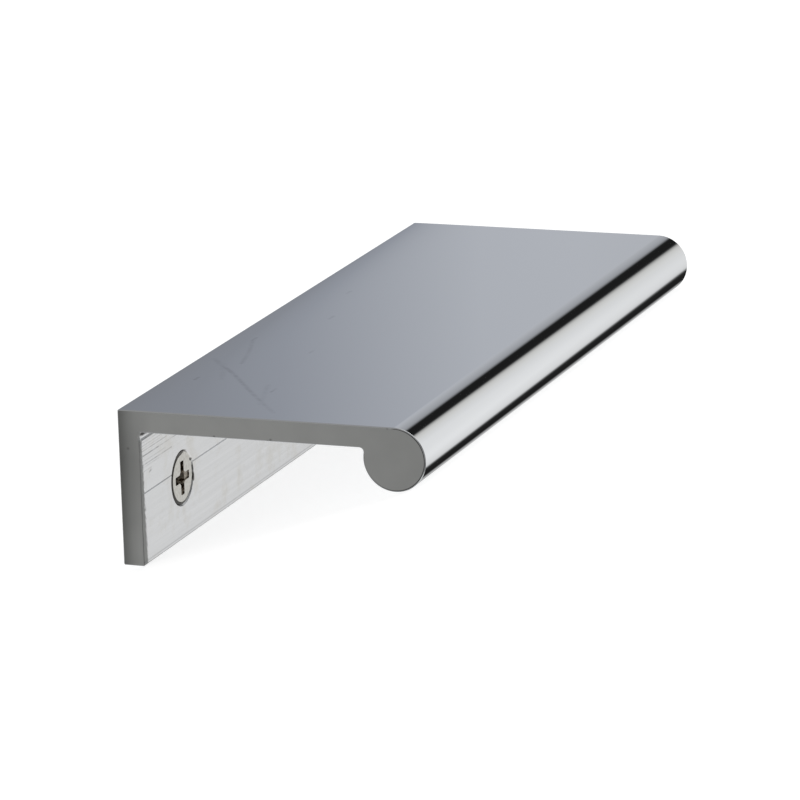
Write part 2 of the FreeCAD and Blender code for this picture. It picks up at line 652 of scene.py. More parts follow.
def marked(shader: Shader, place: Socket, marks: tuple[Mark, ...]) -> Socket:
    """How strongly a surface is marked at each place, mostly from 0 to 1.

    Args:
        shader: The tree to add to.
        place: Installed coordinates.
        marks: The scuffs and nicks.

    Returns:
        The share, broken up a little along each mark.
    """
    shares = []
    for mark in marks:
        start = Vector(mark.start) * MM
        run = Vector(mark.end) * MM - start
        away = shader.vector("SUBTRACT", in0=place, in1=start)
        if run.length > 0:
            along = shader.add(
                "VectorMath", {"operation": "DOT_PRODUCT"}, in0=away, in1=run / run.length_squared
            ).outputs["Value"]
            along = shader.add("Clamp", Value=along).outputs[0]
            away = shader.vector("SUBTRACT", in0=away, in1=shader.vector("SCALE", in0=run, Scale=along))
        gap = shader.add("VectorMath", {"operation": "LENGTH"}, in0=away).outputs["Value"]
        soft = {"interpolation_type": "SMOOTHSTEP"}
        edge = mark.width * MM
        share = shader.add("MapRange", soft, Value=gap, in1=edge, in2=0.0, in3=0.0, in4=mark.depth)
        shares.append(share.outputs[0])
    total = reduce(partial(shader.math, "MAXIMUM"), shares)
    patch = shader.noise(place, BREAK_PER_M, 2.0)
    return shader.times(total, shader.span(patch, *BREAK))


@dataclass(frozen=True)
class Plated:
    """Bright chrome plating over polished aluminium: a mirror with a trace of haze and fine wipe marks,
    scuffed where the photograph shows it and buffed a little round at the back edge."""

    name: str = "bright_chrome_plating"
    colour: str = "#d2d4d6"
    scuff_colour: str = "#8f8f92"
    smoothest: float = 0.0224
    haziest: float = 0.048
    scuff_roughness: float = 0.2
    wipe_mm: float = 1.0
    wipe_stretch: tuple[float, float, float] = (0.35, 0.02, 0.35)
    wipe_seen: tuple[float, float] = (0.35, 0.7)
    buffed_mm: float = 0.26
    buffed_reach_mm: float = 2.5

    def make(self, laying: Laying) -> Material:
        """Builds the material.

        Args:
            laying: Where the drawing lies.

        Returns:
            The material.
        """
        shader = Shader(bpy.data.materials.new(self.name))
        place = shader.installed(laying)
        wipe = shader.noise(shader.stretched(place, self.wipe_stretch), 1 / (self.wipe_mm * MM), 3.0)
        rough = shader.span(wipe, *self.wipe_seen, self.smoothest, self.haziest)
        fine = shader.bump(wipe, 0.01, 0.02)
        out = shader.axes(place)["X"]
        fade = shader.math("EXPONENT", shader.times(out, -1 / (self.buffed_reach_mm * MM)))
        buffed = shader.bump(shader.times(fade, -self.buffed_mm * MM), 1.0, 1 / MM, Normal=fine)
        scuff = marked(shader, place, PLATE_SCUFFS)
        colour = shader.blend(scuff, self.colour, self.scuff_colour)
        rough = shader.math("MULTIPLY_ADD", scuff, self.scuff_roughness, rough)
        return shader.metal(colour, rough, Normal=buffed)


@dataclass(frozen=True)
class SawnEnd:
    """A sawn end, linished and plated: grey and satin over fine grit, with a few nicks. Painted shade
    darkens it towards the back edge and along a line just inside the bead's rim, and it is slightly darker
    towards the bead."""

    name: str = "linished_end_plating"
    # Painted shade: these greys darken the end towards the back edge, over its first few millimetres
    shades: Stops = (
        (0.0, "#7f807e"), (0.13, "#929391"), (0.31, "#a9aaa8"), (0.5, "#b6b7b5"), (1.0, "#c2c3c1")
    )
    # Colour of the nicks, and of the painted shade along the bead's rim
    nick_and_rim_shade_colour: str = "#2c2c2c"
    back_shade_width_mm: float = 4.5
    # Brightness of the flange's end by height: lighter at the foot, darkest a few millimetres below the
    # plate
    flange_tone_by_height: tuple[tuple[float, float], ...] = (
        (0.0, 1.1), (0.15, 1.1), (0.4, 0.98), (0.7, 0.88), (0.92, 1.02)
    )
    flange_mm: tuple[float, float] = (3.4, 2.2)
    bead_mm: tuple[float, float] = (23.0, 36.0)
    bead_shade: float = 0.92
    mottle_per_m: float = 300.0
    mottle: tuple[float, float] = (0.14, 0.93)
    roughness: float = 0.42
    grit_mm: float = 0.12
    # Painted shade: a dark line just inside the bead's rim, strongest to the right and below
    rim_shade_mm: float = 0.14
    rim_shade_span_mm: tuple[float, float] = (-3.6, 2.2)
    rim_shade_strength: tuple[float, float] = (0.2, 0.95)
    rim_shade_top_mm: float = 0.5

    def make(self, laying: Laying) -> Material:
        """Builds the material.

        Args:
            laying: Where the drawing lies.

        Returns:
            The material.
        """
        shader = Shader(bpy.data.materials.new(self.name))
        place = shader.installed(laying)
        way = shader.axes(place)
        out = way["X"]
        # Painted shade: darker towards the back edge
        shade = shader.ramp(shader.times(out, 1 / (self.back_shade_width_mm * MM)), self.shades)
        # The flange's end by height: lighter at the foot, darkest a few millimetres below the plate
        wear = ((height, (level,) * 4) for height, level in self.flange_tone_by_height)
        worn = shader.ramp(shader.times(way["Z"], 1 / (Section.height * MM)), wear)
        on_flange = shader.span(out, *(x * MM for x in self.flange_mm))
        worn = shader.blend(on_flange, (1.0,) * 4, worn)
        spread = shader.math("MULTIPLY_ADD", shader.noise(place, self.mottle_per_m, 3.0), *self.mottle)
        # Slightly darker towards the bead
        by_bead = shader.span(out, *(x * MM for x in self.bead_mm), 1.0, self.bead_shade)
        shade = shader.vector("MULTIPLY", in0=shade, in1=worn)
        colour = shader.vector("SCALE", in0=shade, Scale=shader.times(spread, by_bead))
        colour = shader.blend(marked(shader, place, END_NICKS), colour, self.nick_and_rim_shade_colour)
        # Painted shade along the bead's rim
        colour = shader.blend(self.painted_rim_shade(shader, way), colour, self.nick_and_rim_shade_colour)
        grit = shader.noise(place, 1 / (self.grit_mm * MM), 2.0)
        return shader.metal(colour, self.roughness, Normal=shader.bump(grit, 0.15, 0.01))

    def painted_rim_shade(self, shader: Shader, way: bpy.types.NodeOutputs) -> Socket:
        """How much painted shade darkens a line just inside the bead's rim, stronger to the right and
        below.

        Args:
            shader: The tree to add to.
            way: X, Y and Z in installed coordinates.

        Returns:
            The share.
        """
        s = Section()
        out = shader.math("SUBTRACT", way["X"], s.bead_x * MM)
        up = shader.math("SUBTRACT", way["Z"], s.bead_z * MM)
        radius = shader.math("SQRT", shader.math("ADD", shader.times(out, out), shader.times(up, up)))
        rim = s.bead_radius - s.rim
        line = shader.span(radius, (rim - self.rim_shade_mm) * MM, (rim - self.rim_shade_mm / 2) * MM)
        side = shader.span(out, *(x * MM for x in self.rim_shade_span_mm), *self.rim_shade_strength)
        right = shader.math("GREATER_THAN", out, 0.0)
        below = shader.math("LESS_THAN", up, self.rim_shade_top_mm * MM)
        near = shader.math("LESS_THAN", radius, s.bead_radius * MM)
        return shader.times(line, side, near, shader.math("MAXIMUM", right, below))


@dataclass(frozen=True)
class MillFinish:
    """Plating over the extrusion's own unpolished skin: fine die lines run along it, the deepest near the
    corner. Smudges dull it, painted shade darkens the inner corner under the plate and the edge of the
    screw's seat, a dark pit sits beside the seat, and its near edge is filed."""

    name: str = "mill_finish_plating"
    shades: Stops = ((0.36, "#cecfd0"), (0.5, "#d0d1d2"), (0.7, "#d4d5d6"))
    deep_colour: str = "#6f7072"
    pit_and_shade_colour: str = "#161514"
    smudge_colour: str = "#c3c0b8"
    filed_colour: str = "#b0b1af"
    smudge_per_m: float = 260.0
    smudge_span: tuple[float, ...] = (0.52, 0.75, 0.0, 0.6)
    filed_mm: float = 1.15
    filed_taper: float = -0.03
    filed_roughness: float = 0.3
    filed_bend: float = 3.0
    ragged_per_m: float = 2600.0
    ragged_mm: float = 1.0
    border_mm: tuple[float, float] = (-0.2, 0.25)
    roughness: float = 0.24
    line_mm: float = 0.5
    line_stretch: tuple[float, float, float] = (1.0, 0.006, 1.0)
    score_drop: float = -1.6
    step_z_mm: float = 0.5
    step_mm: tuple[float, float] = (0.14, 0.02)
    step_strength: float = 0.3

    def make(self, laying: Laying) -> Material:
        """Builds the material.

        Args:
            laying: Where the drawing lies.

        Returns:
            The material.
        """
        shader = Shader(bpy.data.materials.new(self.name))
        place = shader.installed(laying)
        way = shader.axes(place)
        lines = shader.noise(
            shader.stretched(place, self.line_stretch), 1 / (self.line_mm * MM), 4.0, 0.6
        )
        deep = marked(shader, place, DIE_SCORES)
        colour = shader.blend(deep, shader.ramp(lines, self.shades), self.deep_colour)
        # The pit, and painted shade in the inner corner and the seat's gap
        painted_shading_and_pit = marked(shader, place, SEAT_PIT_AND_SHADE + CORNER_SHADE)
        colour = shader.blend(painted_shading_and_pit, colour, self.pit_and_shade_colour)
        smudge = shader.span(shader.noise(place, self.smudge_per_m, 4.0, 0.65), *self.smudge_span)
        colour = shader.blend(smudge, colour, self.smudge_colour)
        from_end = shader.math("SUBTRACT", way["Y"], NEAR_END * MM)
        filed = self.filed(shader, place, from_end)
        colour = shader.blend(filed, colour, self.filed_colour)
        step = shader.math("ABSOLUTE", shader.math("SUBTRACT", way["Z"], self.step_z_mm * MM))
        step = shader.span(step, *(x * MM for x in self.step_mm), 0.0, self.step_strength)
        colour = shader.blend(step, colour, self.deep_colour)
        bump = shader.bump(shader.math("MULTIPLY_ADD", deep, self.score_drop, lines), 0.05, 0.02)
        front = laying.matrix.to_3x3() @ Vector(X_AXIS)
        on_rim = shader.math("LESS_THAN", from_end, Section.rim * MM)
        facing = shader.blend(on_rim, (*front, 1.0), (0.0, -1.0, 0.0, 1.0))
        bend = shader.vector("SCALE", in0=facing, Scale=shader.times(filed, self.filed_bend))
        normal = shader.vector("NORMALIZE", in0=shader.vector("ADD", in0=bump, in1=bend))
        rough = shader.math("MULTIPLY_ADD", filed, self.filed_roughness, self.roughness)
        return shader.metal(colour, rough, Normal=normal)

    def filed(self, shader: Shader, place: Socket, from_end: Socket) -> Socket:
        """How far the flange's near front edge is filed away, with a slightly ragged border.

        Args:
            shader: The tree to add to.
            place: Installed coordinates.
            from_end: How far a place lies from the near end, in metres.

        Returns:
            The share.
        """
        way = shader.axes(place)
        wave = self.ragged_mm * MM
        ragged = shader.noise(place, self.ragged_per_m, 3.0)
        ragged = shader.math("MULTIPLY_ADD", ragged, wave, -wave / 2)
        reach = shader.math("MULTIPLY_ADD", way["Z"], self.filed_taper, self.filed_mm * MM)
        left = shader.math("SUBTRACT", shader.math("ADD", reach, ragged), from_end)
        on_front = shader.math("GREATER_THAN", way["X"], Section.wall / 2 * MM)
        return shader.times(shader.span(left, *(x * MM for x in self.border_mm)), on_front)


@dataclass(frozen=True)
class ScrewPlating:
    """Zinc-plated steel: light grey with a trace of warmth, slightly dull from tumbling, with one pit."""

    name: str = "zinc_plated_screw"
    shades: Stops = ((0.3, "#bab8b1"), (0.6, "#cfcec8"))
    pit_colour: str = "#0c0b0a"
    roughness: float = 0.3
    tumble_per_m: float = 2500.0

    def make(self, laying: Laying) -> Material:
        """Builds the material.

        Args:
            laying: Where the drawing lies.

        Returns:
            The material.
        """
        shader = Shader(bpy.data.materials.new(self.name))
        place = shader.installed(laying)
        tumble = shader.noise(place, self.tumble_per_m, 3.0)
        pit = marked(shader, place, (PIT,))
        colour = shader.blend(pit, shader.ramp(tumble, self.shades), self.pit_colour)
        return shader.metal(colour, self.roughness, Normal=shader.bump(tumble, 0.2, 0.03))


@dataclass(frozen=True)
class HeadEdge:
    """The head's bevelled edge, where the plating is thin; its colour is painted light and shade of the
    ring, changing with the angle round the screw, with the seat's pit and painted gap shade laid over it.
    """

    y_mm: float
    z_mm: float
    name: str = "head_edge_painted_shading"
    # Painted light and shade round the head's edge, by angle from the far end towards the top
    painted_shading_and_pit: Stops = (
        (-180, "#5c5a56"), (-130, "#484643"), (-105, "#3c3a37"), (-86, "#6a6864"), (-72, "#a9a69f"),
        (-50, "#a09d96"), (-36, "#8a8781"), (-27, "#5f5d59"), (-20, "#1a1918"), (-9, "#1a1918"),
        (-3, "#4a4845"), (6, "#8f8c86"), (18, "#c2bfb8"), (66, "#c8c5be"), (80, "#8a8782"),
        (92, "#6e6c68"), (120, "#5c5a56"), (180, "#5c5a56"),
    )
    pit_colour: str = "#0c0b0a"
    roughness: float = 0.35
    uneven_per_m: float = 900.0
    uneven_turn: float = 0.06

    def make(self, laying: Laying) -> Material:
        """Builds the material.

        Args:
            laying: Where the drawing lies.

        Returns:
            The material.
        """
        shader = Shader(bpy.data.materials.new(self.name))
        place = shader.installed(laying)
        way = shader.axes(place)
        out = shader.math("SUBTRACT", way["Y"], self.y_mm * MM)
        up = shader.math("SUBTRACT", way["Z"], self.z_mm * MM)
        uneven = shader.noise(place, self.uneven_per_m, 3.0)
        uneven = shader.math("MULTIPLY_ADD", uneven, self.uneven_turn, -self.uneven_turn / 2)
        # Painted light and shade of the ring, by angle round the screw
        colour = shader.dial(shader.math("ADD", shader.angle(up, out), uneven), self.painted_shading_and_pit)
        # The seat's pit and the painted shade of its gap, both in pit_colour
        colour = shader.blend(marked(shader, place, SEAT_PIT_AND_SHADE), colour, self.pit_colour)
        return shader.metal(colour, self.roughness)


@dataclass(frozen=True)
class RecessWear:
    """The driver recess: brown dirt in its depth, bare metal smeared where the driver has slipped, most of
    all in the wing away from the near end."""

    y_mm: float
    z_mm: float
    name: str = "worn_driver_recess"
    dirt: str = "#2a2117"
    stain: str = "#6b5a44"
    bare: str = "#d8cfbf"
    smear_mm: float = 0.55
    smear_stretch: tuple[float, float, float] = (1.0, 0.6, 1.5)
    wing_start_mm: float = 0.9
    wing_half_mm: float = 0.36
    wing_end_mm: float = 2.05
    soft_mm: float = 0.08
    roughness: float = 0.5
    metallic: float = 0.45

    def make(self, laying: Laying) -> Material:
        """Builds the material.

        Args:
            laying: Where the drawing lies.

        Returns:
            The material.
        """
        shader = Shader(bpy.data.materials.new(self.name))
        place = shader.installed(laying)
        way = shader.axes(place)
        smear = shader.noise(shader.stretched(place, self.smear_stretch), 1 / (self.smear_mm * MM), 3.0)
        colour = shader.ramp(smear, ((0.4, self.dirt), (0.5, self.stain), (0.6, self.bare)))
        along = shader.math("SUBTRACT", way["Y"], self.y_mm * MM)
        across = shader.math("ABSOLUTE", shader.math("SUBTRACT", way["Z"], self.z_mm * MM))
        begun = self.edge(shader, along, self.wing_start_mm, self.soft_mm)
        inside = self.edge(shader, across, self.wing_half_mm, -self.soft_mm)
        short = self.edge(shader, along, self.wing_end_mm, -self.soft_mm)
        colour = shader.blend(shader.times(begun, inside, short), colour, self.bare)
        return shader.metal(colour, self.roughness, self.metallic)

    @staticmethod
    def edge(shader: Shader, value: Socket, place: float, soft: float) -> Socket:
        """A step up as a value passes a place in millimetres, or down where soft is negative."""
        return shader.span(value, (place - soft) * MM, (place + soft) * MM)


# The pieces


@dataclass
class PullProfile:
    """The extruded length: flange, plate and bead, with its grooves, holes and sawn ends."""

    section: Section
    laying: Laying
    bead_steps: int = 280
    fillet_steps: int = 10
    rim_steps: int = 3
    roll_off_steps: tuple[float, ...] = (0.45, 0.8, 1.3, 2.0, 3.0, 4.5)
    roll_off_end: float = 7.0
    sharp_from: float = 32.0

    def outline(self) -> Drawing:
        """Draws the section from the bead's top, clockwise round the bead and back over the flange.

        Returns:
            The filled drawing.
        """
        s = self.section
        rise = s.bead_radius - s.wall - s.fillet
        reach = s.bead_radius + s.fillet
        fillet_centre = (s.bead_x - math.sqrt(reach**2 - rise**2), s.underside - s.fillet)
        meet = math.degrees(math.atan2(rise, fillet_centre[0] - s.bead_x))
        drawing = Drawing(Part.PROFILE.value + "_looks", (s.bead_x, s.height), s.rim - s.end)
        drawing.arc_about((s.bead_x, s.bead_z), meet - 360 - 90, self.bead_steps)
        drawing.arc_about(fillet_centre, 90 - (meet - 180), self.fillet_steps)
        back = (0.0, s.height - s.roll_off)
        drawing.line_to((s.wall, s.underside), (s.wall, 0.0), (0.0, 0.0), back)
        for x in self.roll_off_steps:
            drawing.line_to((x, s.height - s.roll_off * math.exp(-x / s.roll_off_reach)))
        drawing.line_to((self.roll_off_end, s.height))
        drawing.close()
        drawing.round_corners([(s.wall, 0.0), (0.0, 0.0), back], s.corner)
        return drawing

    def break_ends(self, piece: Piece) -> None:
        """Rounds the rim of both sawn ends, each by insets that follow a quarter circle.

        Args:
            piece: The extruded bar.
        """
        s = self.section
        edit(piece)
        for side in (-1, 1):
            cap = side * (s.end - s.rim) * MM
            select_where(piece, "FACE", lambda co: abs(co.y - cap) < SAME_POINT)
            for step in range(self.rim_steps):
                start, stop = (math.pi / 2 * k / self.rim_steps for k in (step, step + 1))
                inward = s.rim * MM * (math.cos(start) - math.cos(stop))
                outward = s.rim * MM * (math.sin(stop) - math.sin(start))
                bpy.ops.mesh.inset(thickness=inward, depth=outward)
        leave_edit()

    def groove(self, outline: list[Point]) -> Piece:
        """A cutter for a groove along the flange's front.

        Args:
            outline: Its depth at each height, from the top down, in millimetres.

        Returns:
            The cutter.
        """
        s = self.section
        clear = s.wall + OVERCUT
        top, bottom = outline[0][1], outline[-1][1]
        drawing = Drawing("groove_cutter", (s.wall, top), -s.end - OVERCUT)
        drawing.line_to(*((s.wall - depth, z) for depth, z in outline[1:]))
        drawing.line_to((clear, bottom), (clear, top))
        drawing.close()
        return drawing.extrude(s.length + 2 * OVERCUT)

    def hole(self, y: float) -> Piece:
        """A cutter for one drilled and countersunk hole.

        Args:
            y: Where it is along the pull, in millimetres.

        Returns:
            The cutter.
        """
        s = self.section
        bore, mouth = s.bore / 2, s.countersink / 2
        z, clear = s.screw_height, s.wall + OVERCUT
        drawing = Drawing("hole_cutter", (-OVERCUT, z), y)
        drawing.line_to((-OVERCUT, z + bore), (s.wall - (mouth - bore), z + bore))
        drawing.line_to((clear, z + mouth + OVERCUT), (clear, z))
        return drawing.turn_about_x(z, ROUND_STEPS)

    def build(self) -> Piece:
        """Models the profile and lays it down.

        Returns:
            The profile.
        """
        s = self.section
        piece = self.outline().extrude(s.length - 2 * s.rim)
        self.break_ends(piece)
        relief = [(depth, s.underside - below) for depth, below in s.relief]
        combine(piece, self.groove(relief), "DIFFERENCE")
        half, mid = s.scribe_half, s.scribe_height
        scribe = [(0.0, mid + half), (s.scribe_depth, mid), (0.0, mid - half)]
        combine(piece, self.groove(scribe), "DIFFERENCE")
        for y in (-s.screw_y, s.screw_y):
            combine(piece, self.hole(y), "DIFFERENCE")
        self.dress(piece)
        smooth_and_lay(piece, self.laying, self.sharp_from)
        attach(piece, "root")
        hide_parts(Part.PROFILE.value)
        return piece

    def dress(self, piece: Piece) -> None:
        """Gives each stretch of surface its own finish, by where it lies.

        Args:
            piece: The profile, as installed.
        """
        s = self.section
        for finish in (Plated(), SawnEnd(), MillFinish()):
            piece.data.materials.append(finish.make(self.laying))
        sawn, mill = 1, 2
        for face in piece.data.polygons:
            c, n = face.center / MM, face.normal
            if abs(n.y) > 0.999 and abs(c.y) > s.end - s.rim:
                face.material_index = sawn
            elif -0.1 < c.x < s.wall + 0.01 and c.z < s.underside and abs(n.x) > 0.2:
                face.material_index = mill
            elif 0.01 < c.x < s.wall - 0.01 and 0.5 < c.z < s.underside:
                face.material_index = mill


@dataclass
class CountersunkScrew:
    """A short countersunk sheet-metal screw with a cross recess and a rolled thread."""

    node: Part
    y: float
    section: Section
    laying: Laying
    head: float = 6.8
    land: float = 0.15
    edge_width: float = 0.35
    edge_depth: float = 0.1
    gap: float = 0.05
    length: float = 6.5
    neck: float = 2.9
    thread: float = 3.5
    root: float = 2.6
    pitch: float = 1.3
    point_length: float = 1.5
    point: float = 2.2
    tip_inset: float = 0.01
    neck_run: float = 0.1
    ridge_share: float = 0.34
    ridge_sunk: float = 0.1
    crest_half: float = 0.05
    recess_span: float = 4.4
    recess_wing: float = 1.05
    recess_depth: float = 1.9
    recess_floor: float = 1.3
    recess_centre: float = 2.1
    recess_over: float = 0.5
    worn_from: float = 1.9
    worn_depth: float = 0.16
    worn_bevel: tuple[tuple[float, float, float], ...] = ((16, 90, 0.2), (23, 82, 0.06))
    sharp_from: float = 13.0

    @property
    def face_x(self) -> float:
        """X of the head's flat face, from how deep its cone seats in the countersink.

        Returns:
            The X, in millimetres.
        """
        s = self.section
        normal_gap = self.gap * math.sqrt(2)
        return s.wall - ((s.countersink - self.head) / 2 - normal_gap) + self.land

    def body(self) -> Piece:
        """Turns the head, neck, shank and blunt tip.

        Returns:
            The body, its thread and recess still missing.
        """
        z, face = self.section.screw_height, self.face_x
        head, neck, root = self.head / 2, self.neck / 2, self.root / 2
        cone_x = face - self.land
        tip = face - self.length + self.tip_inset
        drawing = Drawing(self.node.value + "_looks", (face, z), self.y)
        drawing.line_to((face, z + head - self.edge_width), (face - self.edge_depth, z + head))
        drawing.line_to((cone_x, z + head))
        drawing.line_to((cone_x - (head - neck), z + neck), (self.neck_run, z + neck))
        drawing.line_to((-self.neck_run, z + root))
        drawing.line_to((tip + self.point_length, z + root), (tip, z + self.point / 2), (tip, z))
        piece = drawing.turn_about_x(z, ROUND_STEPS)
        self.wear_bevel(piece)
        return piece

    def wear_bevel(self, piece: Piece) -> None:
        """Draws the face out over the bevel on the side where the head is worn down to its edge.

        Args:
            piece: The turned body.
        """
        edit(piece)
        centre = Vector((self.face_x, self.y, self.section.screw_height)) * MM
        rim = self.head / 2 - self.edge_width
        for first, last, width in self.worn_bevel:
            select_where(piece, "VERT", partial(self.on_arc, centre, rim, (first, last)))
            goal = self.head / 2 - width
            bpy.ops.transform.resize(value=(1.0, goal / rim, goal / rim), center_override=centre)
            rim = goal
        leave_edit()

    @staticmethod
    def on_arc(centre: Vector, radius: float, reach: tuple[float, float], co: Vector) -> bool:
        """Whether a vertex lies on part of a circle about the screw's axis.

        Args:
            centre: The circle's centre, in metres.
            radius: Its radius, in millimetres.
            reach: The part's first and last angle in degrees, counted from +Y towards +Z.
            co: The vertex's place, in metres.

        Returns:
            Whether it does.
        """
        away = (co - centre) / MM
        turn = math.degrees(math.atan2(away.z, away.y))
        return reach[0] < turn < reach[1] and abs(away.length - radius) < 0.01

    def thread_ridge(self) -> Piece:
        """Winds the thread's ridge round the shank with a screw modifier.

        Returns:
            The ridge, cut off behind the flange and tapered to the tip.
        """
        z = self.section.screw_height
        tip = self.face_x - self.length
        root, crest = self.root / 2 - self.ridge_sunk, self.thread / 2
        half, flat = self.pitch * self.ridge_share, self.crest_half
        start = tip + half + flat
        drawing = Drawing("thread_ridge", (start - half, z + root), self.y)
        drawing.line_to((start - flat, z + crest), (start + flat, z + crest), (start + half, z + root))
        drawing.close()
        leave_edit()
        piece = drawing.piece
        centre = Vector((0.0, self.y, z)) * MM
        piece.data.transform(Matrix.Translation(-centre))
        winding = piece.modifiers.new("winding", "SCREW")
        winding.axis = "X"
        winding.steps = winding.render_steps = 40
        winding.iterations = 2
        winding.screw_offset = self.pitch * MM
        winding.use_merge_vertices = False
        apply_modifiers(piece)
        piece.data.transform(Matrix.Translation(centre))
        edit(piece)
        select_all()
        bpy.ops.mesh.fill_holes(sides=8)
        select_all()
        bpy.ops.mesh.normals_make_consistent(inside=False)
        leave_edit()
        point = Drawing("thread_envelope", (tip, z), self.y)
        point.line_to((tip, z + self.point / 2), (tip + self.point_length, z + self.thread / 2))
        point.line_to((-flat, z + self.thread / 2), (-flat, z))
        combine(piece, point.turn_about_x(z, ROUND_STEPS), "INTERSECT")
        return piece

    def recess(self) -> Piece:
        """The cross-shaped cutter: two tapering bars and the cone between them.

        Returns:
            The cutter.
        """
        z, face = self.section.screw_height, self.face_x
        deep, over = face - self.recess_depth, self.recess_over
        taper = (self.recess_span - self.recess_floor) / 2 / self.recess_depth
        cone = Drawing("recess_cutter", (deep - 0.2, z), self.y)
        cone.line_to((deep, z + self.recess_floor / 2))
        cone.line_to((face + over, z + self.recess_span / 2 + over * taper), (face + over, z))
        envelope = cone.turn_about_x(z, 64)
        wing, span = self.recess_wing, self.recess_span
        bars = self.bar(deep - 0.3, face + over, (wing, span * 2))
        combine(bars, self.bar(deep - 0.3, face + over, (span + self.worn_from, wing), -span / 2), "UNION")
        worn = self.bar(face - self.worn_depth, face + over, (span, wing - 0.01), span / 2 + 0.3)
        combine(bars, worn, "UNION")
        combine(bars, envelope, "INTERSECT")
        well = Drawing("recess_well", (deep, z), self.y)
        well.line_to((face + over, z + self.recess_centre / 2 + 0.2), (face + over, z))
        combine(bars, well.turn_about_x(z, 48), "UNION")
        return bars

    def bar(self, start: float, end: float, size: tuple[float, float], aside: float = 0.0) -> Piece:
        """A bar across the head.

        Args:
            start: Its lowest X, in millimetres.
            end: Its highest X.
            size: Its width along Y and height along Z.
            aside: How far its middle lies from the screw's, along Y.

        Returns:
            The bar.
        """
        deselect_all()
        centre = Vector(((start + end) / 2, self.y + aside, self.section.screw_height)) * MM
        bpy.ops.mesh.primitive_cube_add(size=1.0, location=centre)
        piece = bpy.context.object
        piece.scale = Vector((end - start, size[0], size[1])) * MM
        bpy.ops.object.transform_apply(location=True, rotation=True, scale=True)
        return piece

    def dress(self, piece: Piece) -> None:
        """Gives the recess its worn finish and the head's edge its painted light and shade.

        Args:
            piece: The screw, as installed.
        """
        y, z = self.y, self.section.screw_height
        for finish in (ScrewPlating(), RecessWear(y, z), HeadEdge(y, z)):
            piece.data.materials.append(finish.make(self.laying))
        worn, edge = 1, 2
        for face in piece.data.polygons:
            c = face.center / MM
            off = math.hypot(c.y - y, c.z - z)
            inside = c.x > self.face_x - self.recess_depth - 0.3 and off < self.recess_span / 2 + 0.2
            on_face = abs(c.x - self.face_x) < 0.01
            cone = off > (self.neck / 2 - 0.05) and face.normal.x < -0.3
            if inside and not on_face and not cone and c.x > 0.2:
                face.material_index = worn
            if off > self.head / 2 - self.edge_width and c.x > self.face_x - self.land - 0.05:
                face.material_index = edge

    def build(self) -> Piece:
        """Models the screw and lays it down with the profile.

        Returns:
            The screw.
        """
        piece = self.body()
        combine(piece, self.thread_ridge(), "UNION")
        combine(piece, self.recess(), "DIFFERENCE")
        self.dress(piece)
        smooth_and_lay(piece, self.laying, self.sharp_from)
        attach(piece, "root")
        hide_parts(self.node.value)
        return piece


def smooth_and_lay(piece: Piece, laying: Laying, sharp_from: float) -> None:
    """Shades a piece smooth up to its sharp edges and lays it down in the frame.

    Args:
        piece: The piece, modelled as installed.
        laying: Where the drawing lies.
        sharp_from: The angle in degrees from which an edge stays sharp.
    """
    hold(piece)
    bpy.ops.object.shade_smooth_by_angle(angle=math.radians(sharp_from))
    weighted = piece.modifiers.new("weighted", "WEIGHTED_NORMAL")
    weighted.keep_sharp = True
    weighted.weight = 50
    apply_modifiers(piece)
    piece.matrix_world = laying.matrix
    bpy.ops.object.transform_apply(location=True, rotation=True, scale=True)


# The studio


@dataclass(frozen=True)
class Camera:
    """The photograph's viewing angle, found from the section's straight edges and the screw's ring."""

    azimuth: float = 20.79
    elevation: float = 14.68
    roll: float = -1.78
    distance_mm: float = 693.1
    aim_x_mm: float = 17.21
    aim_z_mm: float = 8.68
    focal_px: float = 5260.8
    frame_px: float = 800.0
    sensor_mm: float = 36.0

    def place(self, laying: Laying) -> None:
        """Sets the camera where the photograph was taken, as the pull now lies.

        Args:
            laying: Where the drawing lies.
        """
        azimuth, elevation = math.radians(self.azimuth), math.radians(self.elevation)
        back = Vector((
            math.sin(azimuth) * math.cos(elevation),
            -math.cos(azimuth) * math.cos(elevation),
            math.sin(elevation),
        ))
        aim = Vector((self.aim_x_mm, 0.0, self.aim_z_mm)) * MM
        data = bpy.data.cameras.new("camera")
        data.sensor_width = self.sensor_mm
        data.lens = self.focal_px / self.frame_px * self.sensor_mm
        camera = bpy.data.objects.new("camera", data)
        bpy.context.scene.collection.objects.link(camera)
        turn = (-back).to_track_quat("-Z", "Y").to_matrix().to_4x4()
        turn = turn @ Matrix.Rotation(math.radians(self.roll), 4, "Z")
        spot = Matrix.Translation(aim + back * self.distance_mm * MM) @ turn
        camera.matrix_world = laying.matrix @ spot
        bpy.context.scene.camera = camera


def grey(level: float, cool: float = 0.0) -> tuple[float, float, float, float]:
    """A linear grey, with more blue and a little less red by a share."""
    return (level * (1 - 0.42 * cool), level, level * (1 + cool), 1.0)


def band(*stops: tuple[float, ...]) -> Stops:
    """A band round the tent: degrees from the pull's far end towards the bead, its level and how cool."""
    return tuple((degrees, grey(*tone)) for degrees, *tone in stops)


